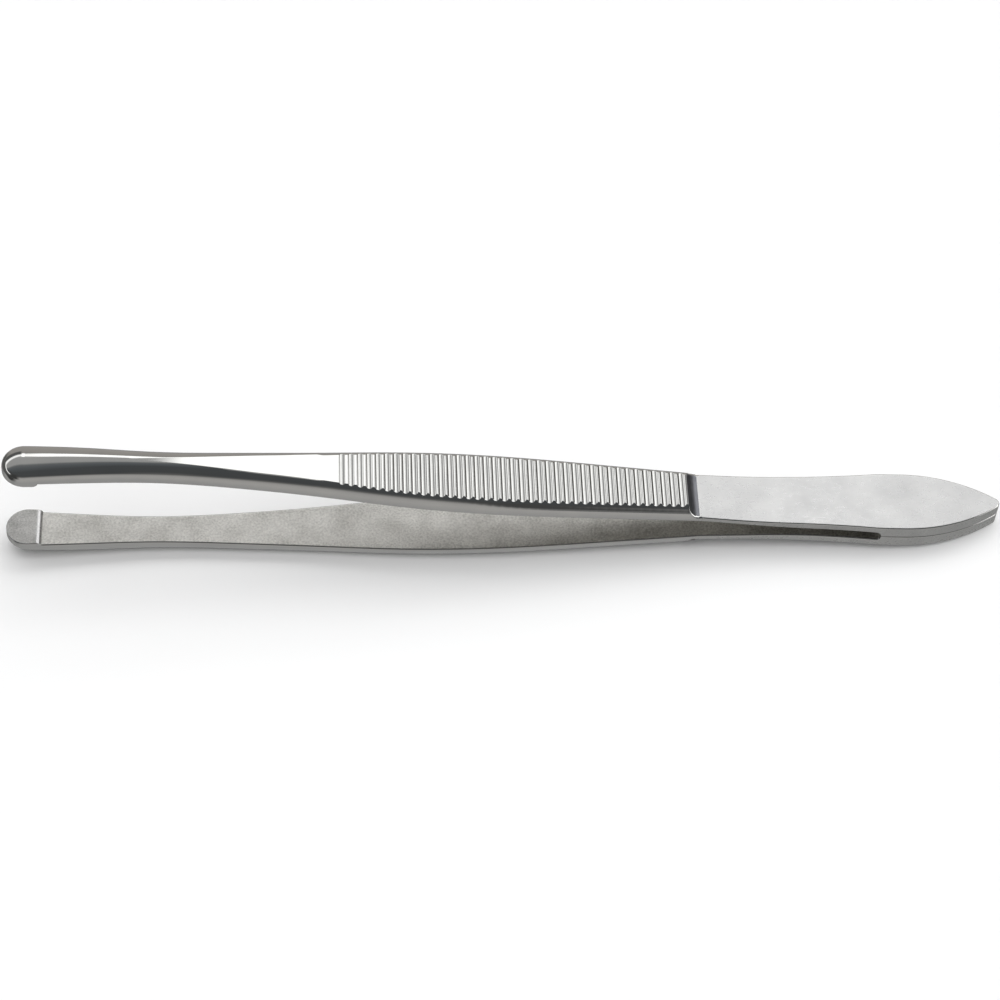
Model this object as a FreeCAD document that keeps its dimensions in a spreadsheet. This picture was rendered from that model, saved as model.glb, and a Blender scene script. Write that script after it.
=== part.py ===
# Thumb forceps with round jaws: two mirror-image sprung arms, welded flat at the base.
#
# One arm is drawn lying on the plane where the two arms meet: X runs from the pointed
# base end towards the jaw, Y across the arm and Z outwards, away from the other arm.
# The same arm is placed twice, the second turned over, and the pair is tilted so that
# it rests on the back of the lower arm, jaws towards -X, centred over the origin.
# Lengths are in millimetres and angles in degrees.

import FreeCAD, Part
import math
import os
from types import SimpleNamespace

import Sketcher

SIZES = {
    # Whole arm
    "overall_length": 89.0,
    "blade_thickness": 1.2,
    "weld_length": 10.6,
    "slot_half_width": 0.5,
    # Side view: the thin spring, the straight grip and the gently curved front
    "spring_thickness": 0.5,
    "bend_distance": 19.4,
    "bend_radius": 70.0,
    "arm_slope": 4.24,
    "front_bend_distance": 58.0,
    "front_bend_radius": 370.0,
    "grip_thickness": 1.35,
    "facet_bend_distance": 60.0,
    "facet_bend_radius": 400.0,
    "facet_end_from_tip": 13.0,
    # Leaf-shaped base, seen from above
    "end_radius": 0.58,
    "leaf_distance": 8.8,
    "leaf_half_width": 3.13,
    "leaf_flat": 1.5,
    "leaf_rear_radius": 14.65,
    "waist_radius": 110.0,
    "waist_taper": 1.4,
    # Stations along the bar, from the rear of the grip to the jaw. Those in front of the
    # grip lie at shares of the stretch from the grip's front to the middle of the jaw.
    "grip_rear_distance": 27.0,
    "grip_rear_half_width": 2.47,
    "grip_back_distance": 36.0,
    "grip_back_half_width": 2.74,
    "grip_middle_distance": 45.5,
    "grip_middle_half_width": 3.02,
    "grip_front_distance": 54.0,
    "grip_front_half_width": 2.8,
    "taper_back_share": 0.212,
    "taper_back_half_width": 2.28,
    "taper_front_share": 0.424,
    "taper_front_half_width": 1.8,
    "neck_share": 0.666,
    "neck_half_width": 1.5,
    "jaw_back_share": 0.85,
    "jaw_back_half_width": 1.72,
    "jaw_half_width": 1.97,
    # Section of the bar at the grip, behind the jaw and at the middle of the jaw: side
    # flat, shoulder arc and crown. The grip's side flat reaches a margin above the spring
    # that it runs on from.
    "side_flat_margin": 0.02,
    "jaw_back_side_flat": 0.7,
    "jaw_side_flat": 0.3,
    "grip_shoulder_radius": 0.9,
    "jaw_back_shoulder_radius": 0.62,
    "jaw_shoulder_radius": 0.75,
    "grip_crown_height": 1.58,
    "jaw_back_crown_height": 1.54,
    "jaw_crown_height": 1.33,
    # Share of the shoulder arc that lies below the ends of the grooves
    "shoulder_split": 0.62,
    # Raised flat of the jaw
    "jaw_flat_length": 3.2,
    "jaw_flat_height": 0.33,
    "jaw_flat_tilt": 2.5,
    # Cross grooves of the grip
    "groove_count": 39,
    "groove_pitch": 0.8,
    "groove_radius": 0.45,
    "groove_depth": 0.1,
    "rear_groove_distance": 28.33,
    # How far the cutting profiles reach past the arm
    "cut_margin": 2.0,
}


class Measure:
    # A number that carries the sheet formula it comes from, so that a sketch is
    # drawn from the one and bound to the other.

    def __init__(self, number, formula):
        self.number = number
        self.formula = formula

    def __add__(self, other):
        other = measure(other)
        return Measure(self.number + other.number, f"({self.formula} + {other.formula})")

    def __sub__(self, other):
        other = measure(other)
        return Measure(self.number - other.number, f"({self.formula} - {other.formula})")

    def __mul__(self, other):
        other = measure(other)
        return Measure(self.number * other.number, f"({self.formula} * {other.formula})")

    def __truediv__(self, other):
        other = measure(other)
        return Measure(self.number / other.number, f"({self.formula} / {other.formula})")


def measure(value):
    return value if isinstance(value, Measure) else Measure(value, str(value))


def sine(angle):
    return Measure(math.sin(math.radians(angle.number)), f"sin({angle.formula})")


def cosine(angle):
    return Measure(math.cos(math.radians(angle.number)), f"cos({angle.formula})")


def tangent(angle):
    return Measure(math.tan(math.radians(angle.number)), f"tan({angle.formula})")


def arc_tangent(rise, run):
    angle = math.degrees(math.atan2(rise.number, run.number))
    return Measure(angle, f"atan2({rise.formula}; {run.formula})")


def root(square):
    return Measure(math.sqrt(square.number), f"sqrt({square.formula})")


size = SimpleNamespace(
    **{name: Measure(number, f"Sizes.{name}") for name, number in SIZES.items()}
)


def make_sheet(doc):
    sheet = doc.addObject("Spreadsheet::Sheet", "Sizes")
    for row, (name, number) in enumerate(SIZES.items(), start=1):
        sheet.set(f"A{row}", name)
        sheet.set(f"B{row}", str(number))
        sheet.setAlias(f"B{row}", name)
    doc.recompute()


# Heights of the side view that several features share


def inner_height(distance):
    # Inner face above the meeting plane: straight along the grip, then a long arc
    straight = size.slot_half_width + (distance - size.bend_distance) * tangent(size.arm_slope)
    if distance.number <= size.front_bend_distance.number:
        return straight
    radius = size.front_bend_radius
    centre_x = size.front_bend_distance + radius * sine(size.arm_slope)
    centre_z = inner_height(size.front_bend_distance) - radius * cosine(size.arm_slope)
    run = distance - centre_x
    return centre_z + root(radius * radius - run * run)


def grip_face_height(distance):
    return inner_height(distance) + size.grip_thickness / cosine(size.arm_slope)


def jaw_centre():
    return size.overall_length - size.jaw_half_width


def front_station(share):
    return size.grip_front_distance + (jaw_centre() - size.grip_front_distance) * share


def facet_end():
    return size.overall_length - size.facet_end_from_tip


def along_front(grip_value, jaw_back_value, distance):
    # A size of the section, constant along the grip and changing evenly behind the jaw
    if distance.number <= size.front_bend_distance.number:
        return grip_value
    front = front_station(size.jaw_back_share) - size.front_bend_distance
    share = (distance - size.front_bend_distance) / front
    return grip_value + (jaw_back_value - grip_value) * share


# Sketch helpers


def new_sketch(body, name, role):
    sketch = body.newObject("Sketcher::SketchObject", name)
    plane = next(item for item in body.Origin.OriginFeatures if item.Role == role)
    sketch.AttachmentSupport = [(plane, "")]
    sketch.MapMode = "FlatFace"
    return sketch


def add_line(sketch, start, end):
    segment = Part.LineSegment(FreeCAD.Vector(*start, 0), FreeCAD.Vector(*end, 0))
    return sketch.addGeometry(segment)


def add_arc(sketch, centre, radius, start_angle, end_angle):
    circle = Part.Circle(FreeCAD.Vector(*centre, 0), FreeCAD.Vector(0, 0, 1), radius)
    bow = Part.ArcOfCircle(circle, math.radians(start_angle), math.radians(end_angle))
    return sketch.addGeometry(bow)


def add_chain(sketch, corners):
    # Straight lines through the corners, joined end to start
    lines = [add_line(sketch, start, end) for start, end in zip(corners, corners[1:])]
    for before, after in zip(lines, lines[1:]):
        rule(sketch, "Coincident", before, 2, after, 1)
    return lines


def rule(sketch, kind, *items):
    sketch.addConstraint(Sketcher.Constraint(kind, *items))


def bound_rule(sketch, kind, *items, value):
    number = math.radians(value.number) if kind == "Angle" else value.number
    index = sketch.addConstraint(Sketcher.Constraint(kind, *items, number))
    sketch.setExpression(f"Constraints[{index}]", value.formula)


ORIGIN = (-1, 1)
CENTRE = 3


def place_x(sketch, geometry, end, value):
    bound_rule(sketch, "DistanceX", *ORIGIN, geometry, end, value=value)


def place_y(sketch, geometry, end, value):
    bound_rule(sketch, "DistanceY", *ORIGIN, geometry, end, value=value)


# The base blank: half a leaf, mirrored


def draw_leaf(sketch):
    end_radius = size.end_radius.number
    half_width = size.leaf_half_width.number
    front_x = size.leaf_distance.number
    rear_x = front_x + size.leaf_flat.number
    radius = size.leaf_rear_radius.number
    centre_y = half_width - radius

    # The front arc touches the end arc from outside and is level where the flat begins
    run = front_x - end_radius
    square = run * run + half_width * half_width - end_radius * end_radius
    front_radius = square / (2 * (half_width - end_radius))
    lean = math.degrees(math.atan2(front_radius - half_width, -run))

    # The waist arc touches the leaf arc and the taper line
    taper = math.radians(size.waist_taper.number)
    waist_radius = size.waist_radius.number
    rear_end = (size.grip_rear_distance.number, size.grip_rear_half_width.number)
    drop = math.sin(taper) * (rear_end[0] - rear_x) + math.cos(taper) * (rear_end[1] - centre_y)
    turn = taper + math.acos((waist_radius + drop) / (waist_radius + radius))
    waist_centre = (
        rear_x + (waist_radius + radius) * math.sin(turn),
        centre_y + (waist_radius + radius) * math.cos(turn),
    )
    taper_start = (
        waist_centre[0] - waist_radius * math.sin(taper),
        waist_centre[1] - waist_radius * math.cos(taper),
    )

    end_arc = add_arc(sketch, (end_radius, 0), end_radius, lean, 180)
    front_arc = add_arc(sketch, (front_x, half_width - front_radius), front_radius, 90, lean)
    flat = add_line(sketch, (front_x, half_width), (rear_x, half_width))
    rear_arc = add_arc(sketch, (rear_x, centre_y), radius, 90 - math.degrees(turn), 90)
    waist_arc = add_arc(
        sketch, waist_centre, waist_radius, 270 - math.degrees(turn), 270 - math.degrees(taper)
    )
    taper_line = add_line(sketch, taper_start, rear_end)
    rear_line = add_line(sketch, rear_end, (rear_end[0], 0))
    middle_line = add_line(sketch, (rear_end[0], 0), (0, 0))

    rule(sketch, "Tangent", end_arc, 1, front_arc, 2)
    rule(sketch, "Tangent", front_arc, 1, flat, 1)
    rule(sketch, "Tangent", flat, 2, rear_arc, 2)
    rule(sketch, "Tangent", rear_arc, 1, waist_arc, 1)
    rule(sketch, "Tangent", waist_arc, 2, taper_line, 1)
    rule(sketch, "Coincident", taper_line, 2, rear_line, 1)
    rule(sketch, "Coincident", rear_line, 2, middle_line, 1)
    rule(sketch, "Coincident", middle_line, 2, end_arc, 2)
    rule(sketch, "Coincident", middle_line, 2, *ORIGIN)
    rule(sketch, "Horizontal", middle_line)
    rule(sketch, "Horizontal", flat)
    rule(sketch, "Vertical", rear_line)
    rule(sketch, "Horizontal", end_arc, CENTRE, *ORIGIN)
    bound_rule(sketch, "Radius", end_arc, value=size.end_radius)
    bound_rule(sketch, "Radius", rear_arc, value=size.leaf_rear_radius)
    bound_rule(sketch, "Radius", waist_arc, value=size.waist_radius)
    place_x(sketch, flat, 1, size.leaf_distance)
    place_y(sketch, flat, 1, size.leaf_half_width)
    bound_rule(sketch, "Distance", flat, value=size.leaf_flat)
    bound_rule(sketch, "Angle", taper_line, value=size.waist_taper * -1)
    place_x(sketch, rear_line, 1, size.grip_rear_distance)
    place_y(sketch, rear_line, 1, size.grip_rear_half_width)


def add_base(body):
    sketch = new_sketch(body, "leaf_outline", "XY_Plane")
    draw_leaf(sketch)
    blank = body.newObject("PartDesign::Pad", "leaf_half")
    blank.Profile = sketch
    height = grip_face_height(size.grip_rear_distance)
    blank.Length = height.number
    blank.setExpression("Length", height.formula)
    mirror = body.newObject("PartDesign::Mirrored", "leaf")
    mirror.Originals = [blank]
    plane = next(item for item in body.Origin.OriginFeatures if item.Role == "XZ_Plane")
    mirror.MirrorPlane = (plane, [""])
    body.Tip = mirror


# The bar: sections with flat sides, round shoulders and a low crown, lofted to the jaw


def crown_radius(half_width, shoulder_radius, rise):
    # Arc over the middle that touches both shoulder arcs and is `rise` above the sides
    span = half_width - shoulder_radius
    total = span * span + rise * rise - shoulder_radius * shoulder_radius
    return total / ((rise - shoulder_radius) * 2)


def section_sizes(distance):
    grip_side_flat = size.spring_thickness / cosine(size.arm_slope) + size.side_flat_margin
    side_flat = along_front(grip_side_flat, size.jaw_back_side_flat, distance)
    shoulder = along_front(size.grip_shoulder_radius, size.jaw_back_shoulder_radius, distance)
    crown = along_front(size.grip_crown_height, size.jaw_back_crown_height, distance)
    if distance.number > front_station(size.jaw_back_share).number:
        side_flat = size.jaw_side_flat
        shoulder = size.jaw_shoulder_radius
        crown = size.jaw_crown_height
    return inner_height(distance) + side_flat, shoulder, crown - side_flat


def draw_section(sketch, distance, half_width):
    side_top, shoulder, rise = section_sizes(distance)
    crown = crown_radius(half_width, shoulder, rise)
    turn = arc_tangent(crown - rise, half_width - shoulder)
    split = turn * size.shoulder_split
    reach, top, bend = half_width.number, side_top.number, shoulder.number
    crown_y = top + rise.number - crown.number
    low_end, high_end = split.number, turn.number

    right_side = add_line(sketch, (reach, 0), (reach, top))
    right_low = add_arc(sketch, (reach - bend, top), bend, 0, low_end)
    right_high = add_arc(sketch, (reach - bend, top), bend, low_end, high_end)
    crown_arc = add_arc(sketch, (0, crown_y), crown.number, high_end, 180 - high_end)
    left_high = add_arc(sketch, (bend - reach, top), bend, 180 - high_end, 180 - low_end)
    left_low = add_arc(sketch, (bend - reach, top), bend, 180 - low_end, 180)
    left_side = add_line(sketch, (-reach, top), (-reach, 0))
    floor = add_line(sketch, (-reach, 0), (reach, 0))

    outline = [right_side, right_low, right_high, crown_arc, left_high, left_low, left_side]
    for before, after in zip(outline, outline[1:]):
        rule(sketch, "Tangent", before, 2, after, 1)
    rule(sketch, "Coincident", left_side, 2, floor, 1)
    rule(sketch, "Coincident", floor, 2, right_side, 1)
    rule(sketch, "Vertical", right_side)
    rule(sketch, "Vertical", left_side)
    rule(sketch, "Horizontal", floor)
    rule(sketch, "Symmetric", floor, 1, floor, 2, *ORIGIN)
    rule(sketch, "Horizontal", right_side, 2, left_side, 1)
    rule(sketch, "Horizontal", right_low, 2, left_low, 1)
    bound_rule(sketch, "Distance", floor, value=half_width * 2)
    bound_rule(sketch, "Distance", right_side, value=side_top)
    bound_rule(sketch, "Radius", right_low, value=shoulder)
    bound_rule(sketch, "Angle", right_low, value=split)
    for other in (right_high, left_high, left_low):
        rule(sketch, "Equal", right_low, other)
    bound_rule(sketch, "Radius", crown_arc, value=crown)


def draw_half_section(sketch, distance, half_width):
    side_top, shoulder, rise = section_sizes(distance)
    crown = crown_radius(half_width, shoulder, rise)
    reach, top, bend = half_width.number, side_top.number, shoulder.number
    crown_y = top + rise.number - crown.number
    lean = math.degrees(math.atan2(top - crown_y, reach - bend))

    floor = add_line(sketch, (0, 0), (reach, 0))
    side = add_line(sketch, (reach, 0), (reach, top))
    shoulder_arc = add_arc(sketch, (reach - bend, top), bend, 0, lean)
    crown_arc = add_arc(sketch, (0, crown_y), crown.number, lean, 90)
    middle = add_line(sketch, (0, top + rise.number), (0, 0))

    rule(sketch, "Coincident", floor, 2, side, 1)
    rule(sketch, "Tangent", side, 2, shoulder_arc, 1)
    rule(sketch, "Tangent", shoulder_arc, 2, crown_arc, 1)
    rule(sketch, "Coincident", crown_arc, 2, middle, 1)
    rule(sketch, "Coincident", middle, 2, floor, 1)
    rule(sketch, "Coincident", floor, 1, *ORIGIN)
    rule(sketch, "Horizontal", floor)
    rule(sketch, "Vertical", side)
    rule(sketch, "Vertical", middle)
    rule(sketch, "Vertical", crown_arc, CENTRE, *ORIGIN)
    bound_rule(sketch, "Distance", floor, value=half_width)
    bound_rule(sketch, "Distance", side, value=side_top)
    bound_rule(sketch, "Radius", shoulder_arc, value=shoulder)
    bound_rule(sketch, "Radius", crown_arc, value=crown)


def new_station_sketch(body, name, distance):
    sketch = new_sketch(body, name, "YZ_Plane")
    sketch.AttachmentOffset.Base.z = distance.number
    sketch.setExpression("AttachmentOffset.Base.z", distance.formula)
    return sketch


def add_bar(body):
    stations = {
        "grip_rear": (size.grip_rear_distance, size.grip_rear_half_width),
        "grip_back": (size.grip_back_distance, size.grip_back_half_width),
        "grip_middle": (size.grip_middle_distance, size.grip_middle_half_width),
        "grip_front": (size.grip_front_distance, size.grip_front_half_width),
        "taper_back": (front_station(size.taper_back_share), size.taper_back_half_width),
        "taper_front": (front_station(size.taper_front_share), size.taper_front_half_width),
        "neck": (front_station(size.neck_share), size.neck_half_width),
        "jaw_back": (front_station(size.jaw_back_share), size.jaw_back_half_width),
        "jaw": (jaw_centre(), size.jaw_half_width),
    }
    sections = []
    for name, (distance, half_width) in stations.items():
        sketch = new_station_sketch(body, f"{name}_section", distance)
        draw_section(sketch, distance, half_width)
        sections.append(sketch)
    bar = body.newObject("PartDesign::AdditiveLoft", "bar")
    bar.Profile = sections[0]
    bar.Sections = sections[1:]
    body.Tip = bar


def add_nose(body):
    # Half a turn of the jaw's own section closes the jaw with a round nose
    sketch = new_station_sketch(body, "nose_section", jaw_centre())
    draw_half_section(sketch, jaw_centre(), size.jaw_half_width)
    nose = body.newObject("PartDesign::Revolution", "nose")
    nose.Profile = sketch
    nose.ReferenceAxis = (sketch, ["V_Axis"])
    nose.Angle = 180
    nose.Reversed = True
    body.Tip = nose


# The two cuts that give the side view


def add_through_cut(body, name, sketch):
    cut = body.newObject("PartDesign::Pocket", name)
    cut.Profile = sketch
    cut.Type = "ThroughAll"
    cut.SideType = "Symmetric"
    body.Tip = cut
    return cut


def bend_angles():
    slope = size.arm_slope.number
    return 270, 270 + slope


def turned(point, distance, angle):
    # The point `distance` away from `point` in the direction `angle`
    lean = math.radians(angle)
    return (point[0] + distance * math.cos(lean), point[1] + distance * math.sin(lean))


def add_outer_cut(body):
    sketch = new_sketch(body, "outer_profile", "XZ_Plane")
    slope = size.arm_slope.number
    margin = size.cut_margin.number
    thickness = size.blade_thickness.number
    bend_radius = size.bend_radius.number
    facet_radius = size.facet_bend_radius.number
    step = size.grip_thickness - size.spring_thickness
    spring_offset = size.spring_thickness / cosine(size.arm_slope)
    step_height = inner_height(size.grip_rear_distance) + spring_offset

    step_foot = (size.grip_rear_distance.number, step_height.number)
    corner_x = step_foot[0] - (step_foot[1] - thickness) / math.tan(math.radians(slope))
    setback = bend_radius * math.tan(math.radians(slope / 2))
    bend_start = (corner_x - setback, thickness)
    bend_centre = (bend_start[0], thickness + bend_radius)
    bend_end = turned(bend_centre, bend_radius, 270 + slope)
    step_centre = turned(step_foot, step.number, 90 + slope)
    step_top = turned(step_centre, step.number, slope)
    facet_start = (
        size.facet_bend_distance.number,
        grip_face_height(size.facet_bend_distance).number,
    )
    facet_centre = turned(facet_start, facet_radius, slope - 90)
    facet_run = (facet_end().number - facet_centre[0]) / facet_radius
    facet_lean = math.degrees(math.acos(facet_run))
    facet_foot = turned(facet_centre, facet_radius, facet_lean)
    reach = size.overall_length.number + margin
    facet_slope = math.tan(math.radians(facet_lean - 90))
    line_end = (reach, facet_foot[1] + (reach - facet_foot[0]) * facet_slope)
    ceiling = facet_foot[1] + margin

    panel = add_line(sketch, (-margin, thickness), bend_start)
    bend = add_arc(sketch, bend_centre, bend_radius, *bend_angles())
    spring = add_line(sketch, bend_end, step_foot)
    step_arc = add_arc(sketch, step_centre, step.number, 270 + slope, 360 + slope)
    grip = add_line(sketch, step_top, facet_start)
    facet = add_arc(sketch, facet_centre, facet_radius, facet_lean, 90 + slope)
    front = add_line(sketch, facet_foot, line_end)
    closing = add_chain(
        sketch, [line_end, (reach, ceiling), (-margin, ceiling), (-margin, thickness)]
    )

    rule(sketch, "Tangent", panel, 2, bend, 1)
    rule(sketch, "Tangent", bend, 2, spring, 1)
    rule(sketch, "Tangent", spring, 2, step_arc, 1)
    rule(sketch, "Perpendicular", step_arc, 2, grip, 1)
    rule(sketch, "Tangent", grip, 2, facet, 2)
    rule(sketch, "Tangent", facet, 1, front, 1)
    rule(sketch, "Coincident", front, 2, closing[0], 1)
    rule(sketch, "Coincident", closing[2], 2, panel, 1)
    rule(sketch, "Horizontal", panel)
    rule(sketch, "Parallel", spring, grip)
    rule(sketch, "Vertical", closing[0])
    rule(sketch, "Horizontal", closing[1])
    rule(sketch, "Vertical", closing[2])
    place_x(sketch, panel, 1, size.cut_margin * -1)
    place_y(sketch, panel, 1, size.blade_thickness)
    bound_rule(sketch, "Radius", bend, value=size.bend_radius)
    bound_rule(sketch, "Angle", spring, value=size.arm_slope)
    place_x(sketch, spring, 2, size.grip_rear_distance)
    place_y(sketch, spring, 2, step_height)
    bound_rule(sketch, "Radius", step_arc, value=step)
    place_x(sketch, grip, 2, size.facet_bend_distance)
    bound_rule(sketch, "Radius", facet, value=size.facet_bend_radius)
    place_x(sketch, front, 1, facet_end())
    place_x(sketch, front, 2, size.overall_length + size.cut_margin)
    place_y(sketch, closing[0], 2, grip_face_height(facet_end()) + size.cut_margin)
    return add_through_cut(body, "outer_cut", sketch)


def add_inner_cut(body):
    sketch = new_sketch(body, "inner_profile", "XZ_Plane")
    slope = size.arm_slope.number
    margin = size.cut_margin.number
    gap = size.slot_half_width.number
    weld = size.weld_length.number
    bend_radius = size.bend_radius.number
    front_radius = size.front_bend_radius.number
    setback = size.bend_radius * tangent(size.arm_slope / 2)
    heel = size.overall_length - size.jaw_flat_length

    bend_start = (size.bend_distance.number - setback.number, gap)
    bend_centre = (bend_start[0], gap + bend_radius)
    bend_end = turned(bend_centre, bend_radius, 270 + slope)
    front_start = (
        size.front_bend_distance.number,
        inner_height(size.front_bend_distance).number,
    )
    front_centre = turned(front_start, front_radius, slope - 90)
    heel_lean = math.degrees(math.acos((heel.number - front_centre[0]) / front_radius))
    heel_top = turned(front_centre, front_radius, heel_lean)
    heel_foot = (heel_top[0], heel_top[1] - size.jaw_flat_height.number)
    reach = size.overall_length.number + margin
    tilt = math.tan(math.radians(size.jaw_flat_tilt.number))
    flat_end = (reach, heel_foot[1] + (reach - heel_foot[0]) * tilt)

    slot_end = add_arc(sketch, (weld + gap, 0), gap, 90, 180)
    slot = add_line(sketch, (weld + gap, gap), bend_start)
    bend = add_arc(sketch, bend_centre, bend_radius, *bend_angles())
    straight = add_line(sketch, bend_end, front_start)
    front = add_arc(sketch, front_centre, front_radius, heel_lean, 90 + slope)
    closing = add_chain(
        sketch, [heel_top, heel_foot, flat_end, (reach, -margin), (weld, -margin), (weld, 0)]
    )

    rule(sketch, "Tangent", slot_end, 1, slot, 1)
    rule(sketch, "Tangent", slot, 2, bend, 1)
    rule(sketch, "Tangent", bend, 2, straight, 1)
    rule(sketch, "Tangent", straight, 2, front, 2)
    rule(sketch, "Coincident", front, 1, closing[0], 1)
    rule(sketch, "Coincident", closing[4], 2, slot_end, 2)
    rule(sketch, "Horizontal", slot)
    rule(sketch, "Vertical", closing[0])
    rule(sketch, "Vertical", closing[2])
    rule(sketch, "Horizontal", closing[3])
    rule(sketch, "Vertical", closing[4])
    rule(sketch, "Horizontal", slot_end, CENTRE, *ORIGIN)
    rule(sketch, "Horizontal", slot_end, 2, *ORIGIN)
    bound_rule(sketch, "Radius", slot_end, value=size.slot_half_width)
    place_x(sketch, slot_end, 2, size.weld_length)
    bound_rule(sketch, "Radius", bend, value=size.bend_radius)
    place_x(sketch, bend, 1, size.bend_distance - setback)
    bound_rule(sketch, "Angle", straight, value=size.arm_slope)
    place_x(sketch, straight, 2, size.front_bend_distance)
    bound_rule(sketch, "Radius", front, value=size.front_bend_radius)
    place_x(sketch, closing[0], 1, heel)
    bound_rule(sketch, "Distance", closing[0], value=size.jaw_flat_height)
    bound_rule(sketch, "Angle", closing[1], value=size.jaw_flat_tilt)
    place_x(sketch, closing[1], 2, size.overall_length + size.cut_margin)
    place_y(sketch, closing[3], 2, size.cut_margin * -1)
    return add_through_cut(body, "inner_cut", sketch)


# The grip's cross grooves: each is a round-bottomed cut that runs out on the shoulders


def add_grooves(body):
    sketch = new_sketch(body, "groove_circle", "XZ_Plane")
    face = grip_face_height(size.rear_groove_distance)
    sketch.AttachmentOffset = FreeCAD.Placement(
        FreeCAD.Vector(size.rear_groove_distance.number, face.number, 0),
        FreeCAD.Rotation(FreeCAD.Vector(0, 0, 1), size.arm_slope.number),
    )
    sketch.setExpression("AttachmentOffset.Base.x", size.rear_groove_distance.formula)
    sketch.setExpression("AttachmentOffset.Base.y", face.formula)
    sketch.setExpression("AttachmentOffset.Rotation.Angle", size.arm_slope.formula)
    lift = size.groove_radius - size.groove_depth
    centre = FreeCAD.Vector(0, lift.number, 0)
    circle = sketch.addGeometry(
        Part.Circle(centre, FreeCAD.Vector(0, 0, 1), size.groove_radius.number)
    )
    rule(sketch, "Vertical", circle, CENTRE, *ORIGIN)
    bound_rule(sketch, "Radius", circle, value=size.groove_radius)
    place_y(sketch, circle, 3, lift)
    groove = add_through_cut(body, "groove", sketch)

    row = body.newObject("PartDesign::LinearPattern", "grooves")
    row.Originals = [groove]
    row.Direction = (sketch, ["H_Axis"])
    row.Mode = "Spacing"
    row.setExpression("Offset", size.groove_pitch.formula)
    row.setExpression("Occurrences", size.groove_count.formula)
    body.Tip = row


def make_arm(doc, label):
    body = doc.addObject("PartDesign::Body", label)
    body.Label = label
    add_base(body)
    add_bar(body)
    add_nose(body)
    add_outer_cut(body)
    add_inner_cut(body)
    add_grooves(body)
    return body


# Rest: the base end and the curved facet of the lower arm both touch the table


def rest_tilt():
    radius = size.facet_bend_radius
    centre_x = size.facet_bend_distance + radius * sine(size.arm_slope)
    centre_z = grip_face_height(size.facet_bend_distance) - radius * cosine(size.arm_slope)
    drop = centre_z - size.blade_thickness
    away = root(centre_x * centre_x + drop * drop)
    towards_centre = math.degrees(math.atan2(drop.number, centre_x.number))
    lean = math.degrees(math.asin(radius.number / away.number))
    return Measure(
        towards_centre + lean,
        f"(atan2({drop.formula}; {centre_x.formula}) + asin({(radius / away).formula}))",
    )


def lay_down(arm, turn):
    tilt = rest_tilt()
    jaw_height = inner_height(jaw_centre())
    spread = (jaw_height - size.blade_thickness) * sine(tilt)
    middle_x = (size.overall_length * cosine(tilt) + spread) / 2
    middle_z = size.blade_thickness * cosine(tilt)
    arm.setExpression(
        "Placement",
        f"placement(vector({middle_x.formula}; 0; {middle_z.formula}); "
        f"rotationy({tilt.formula}) * {turn})",
    )


def check(doc, arms):
    for item in doc.Objects:
        if "Invalid" in item.State or "Error" in item.State:
            raise RuntimeError(f"{item.Label} did not compute: {item.State}")
    for arm in arms:
        before = None
        for feature in arm.Group:
            if not feature.isDerivedFrom("PartDesign::Feature"):
                continue
            volume = feature.Shape.Volume
            if before is not None and abs(volume - before) < 1e-6:
                raise RuntimeError(f"{feature.Label} of {arm.Label} changes nothing")
            before = volume
        if arm.Shape.isNull() or not arm.Shape.isValid() or len(arm.Shape.Solids) != 1:
            raise RuntimeError(f"{arm.Label} is not one valid solid")


def main():
    doc = FreeCAD.newDocument("thumb_forceps")
    make_sheet(doc)
    upper = make_arm(doc, "upper_arm")
    lower = make_arm(doc, "lower_arm")
    lay_down(upper, "rotationz(180)")
    lay_down(lower, "rotationy(180)")
    doc.recompute()
    check(doc, [upper, lower])
    os.makedirs("parts", exist_ok=True)
    for arm in (upper, lower):
        arm.Shape.exportStep(f"parts/{arm.Label}.step")
        print(arm.Label, f"{arm.Shape.Volume:.2f} mm3", arm.Shape.BoundBox)


main()
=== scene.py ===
import bmesh
import bpy
import math
from mathutils import Matrix, Vector


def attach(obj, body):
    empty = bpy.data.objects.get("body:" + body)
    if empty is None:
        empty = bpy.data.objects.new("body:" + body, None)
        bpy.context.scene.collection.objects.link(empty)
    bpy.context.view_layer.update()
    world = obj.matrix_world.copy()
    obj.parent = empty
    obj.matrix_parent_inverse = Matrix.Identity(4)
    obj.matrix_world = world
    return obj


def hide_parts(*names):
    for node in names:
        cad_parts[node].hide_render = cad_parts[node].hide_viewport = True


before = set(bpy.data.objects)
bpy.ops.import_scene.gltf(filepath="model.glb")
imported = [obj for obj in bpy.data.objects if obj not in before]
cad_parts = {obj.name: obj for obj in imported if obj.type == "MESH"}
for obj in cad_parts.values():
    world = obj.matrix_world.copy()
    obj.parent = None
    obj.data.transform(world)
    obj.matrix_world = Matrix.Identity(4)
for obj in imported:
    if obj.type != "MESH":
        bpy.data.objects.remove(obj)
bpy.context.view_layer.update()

mm = 0.001

# Thumb forceps: two equal arms, each a bar with a leaf-shaped base and a round nose.
# One arm is modelled flat in millimetres, x from the base end to the jaw, y across, z outwards.
# It is made twice, turned and laid down in metres where the frame has the upper and lower arm.

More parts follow.
